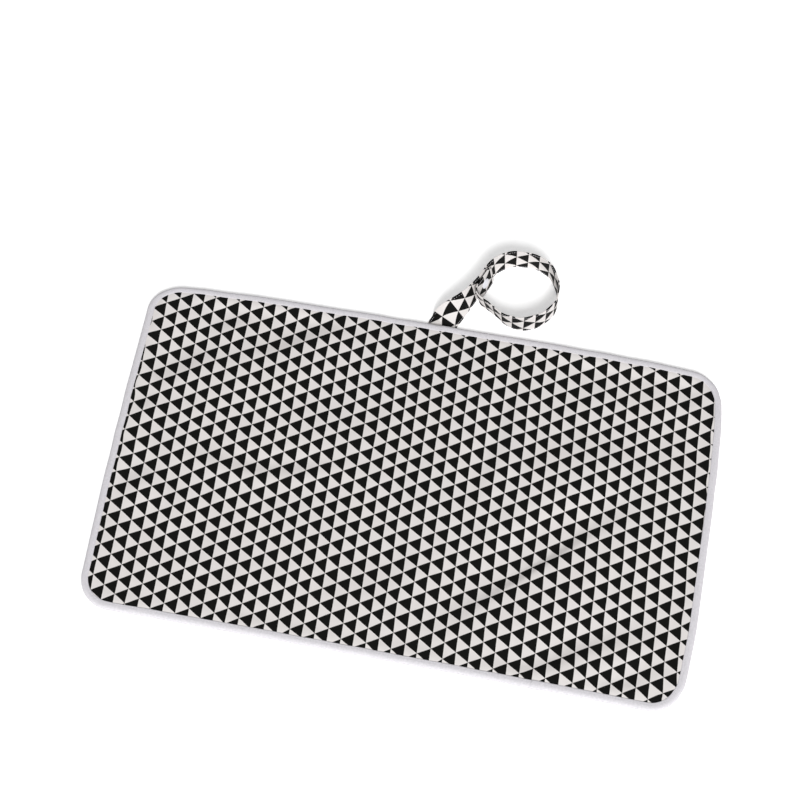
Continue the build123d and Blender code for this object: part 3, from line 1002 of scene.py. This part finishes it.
def turned(name, profile, node, body, segments=64):
    """A piece turned on the press stud's axis: (radius, inward) in mm from the strap's middle."""
    edge, across, facing = strap_frame(STUD_S, plan_point(STUD_S), HEADING)
    centre = edge + across * STUD_Z
    points = []
    for k in range(segments):
        a = 2 * math.pi * k / segments
        radial = HEADING * math.cos(a) + across * math.sin(a)
        for r, depth in profile:
            points.append(centre + radial * r * MM + facing * depth * MM)
    n = len(profile)
    faces = []
    for k in range(segments):
        for i in range(n):
            a, b = k * n + i, k * n + (i + 1) % n
            c, d = ((k + 1) % segments) * n + (i + 1) % n, ((k + 1) % segments) * n + i
            faces.append((a, b, c, d))
    obj = make_piece(name, points, faces, "stud")
    mesh = obj.data
    bm = bmesh.new()
    bm.from_mesh(mesh)
    bmesh.ops.remove_doubles(bm, verts=bm.verts, dist=1e-6)
    bmesh.ops.recalc_face_normals(bm, faces=bm.faces)
    bm.to_mesh(mesh)
    bm.free()
    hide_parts(node)
    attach(obj, body)
    return obj


def press_stud():
    """Cap and stud on the strap, socket and cap on the tongue."""
    def cap(face, way):
        """A cap's profile: a shallow dome with a rolled rim, and the post that goes through the cloth."""
        profile = [
            (0.0, 1.32), (0.25, 1.30), (0.45, 1.34), (1.6, 1.36), (3.2, 1.30), (4.6, 1.14), (5.5, 0.9),
            (6.0, 0.6), (6.2, 0.28), (6.15, 0.05), (5.9, 0.0), (1.0, 0.0), (1.0, -2.0), (0.0, -2.3),
        ]
        return [(r, face + way * d) for r, d in profile]

    half = STRAP_T / MM / 2
    layer = LAYER_STEP / MM * math.cos(SNAP_LEAN)
    turned("stud_cap_moulding", cap(-half, -1), "stud_cap", "strap")
    turned("socket_cap_moulding", cap(layer + half, 1), "socket_cap", "strap_end")
    stud = [
        (1.15, 0), (4.9, 0), (5.2, 0.2), (5.2, 0.6), (4.9, 0.8), (2.9, 0.82), (2.4, 0.95),
        (1.75, 1.0), (1.6, 1.3), (1.85, 1.75), (1.8, 2.0), (1.5, 2.1), (1.15, 2.1), (1.05, 1.4),
    ]
    turned("stud_moulding", [(r, half + d) for r, d in stud], "stud", "strap")
    socket = [
        (1.15, 0), (4.9, 0), (5.2, 0.25), (5.2, 0.9), (4.95, 1.15), (3.4, 1.2), (3.2, 1.0),
        (2.7, 1.0), (2.5, 1.18), (2.05, 1.1), (2.0, 0.5), (2.1, 0.25), (1.15, 0.2),
    ]
    turned("socket_moulding", [(r, layer - half - d) for r, d in socket], "socket", "strap_end")


# ================================================================ stage


def stage():
    """A pale floor, soft light and the camera."""
    bpy.ops.mesh.primitive_plane_add(size=60, location=(0, 0, -0.3 * MM))
    floor = bpy.context.object
    floor.name = "floor"
    mat, tree, shader = new_material("pale_floor", (0.92, 0.92, 0.92), 0.9)
    shader.inputs["Emission Color"].default_value = (1, 1, 1, 1)
    shader.inputs["Emission Strength"].default_value = 0.36
    floor.data.materials.append(mat)

    world = bpy.data.worlds.new("studio")
    world.use_nodes = True
    world.node_tree.nodes["Background"].inputs["Color"].default_value = (1, 1, 1, 1)
    world.node_tree.nodes["Background"].inputs["Strength"].default_value = 0.37
    bpy.context.scene.world = world

    def soft_light(name, place, aim, size, power):
        """A square soft light, aimed at a place."""
        light = bpy.data.lights.new(name, "AREA")
        light.size = size
        light.energy = power
        obj = bpy.data.objects.new(name, light)
        obj.location = place
        obj.rotation_euler = (Vector(aim) - Vector(place)).to_track_quat("-Z", "Y").to_euler()
        bpy.context.collection.objects.link(obj)

    soft_light("key", place=(2.6, -8.4, 8.0), aim=(0, 0, 0), size=4.0, power=1500)

    azimuth, elevation, distance = math.radians(-11.03), math.radians(63.1), 2.3113
    aim = Vector((-28.9, 102.6, 0)) * MM
    forward = Vector((
        math.sin(azimuth) * math.cos(elevation),
        math.cos(azimuth) * math.cos(elevation),
        -math.sin(elevation),
    ))
    camera = bpy.data.cameras.new("camera")
    camera.lens = 94.5
    camera.sensor_width = 36
    obj = bpy.data.objects.new("camera", camera)
    obj.location = aim - forward * distance
    obj.rotation_euler = forward.to_track_quat("-Z", "Y").to_euler()
    bpy.context.collection.objects.link(obj)
    bpy.context.scene.camera = obj
    bpy.context.scene.view_settings.view_transform = "Standard"


stage()
COVERS = mat_covers()
for half_side in (-1, 1):
    tape_half(half_side)
    tape_stitches(half_side)
tape_lap()
HINGE, RELEASE = strap_pieces()
strap_stitches()
root_stitches()
press_stud()
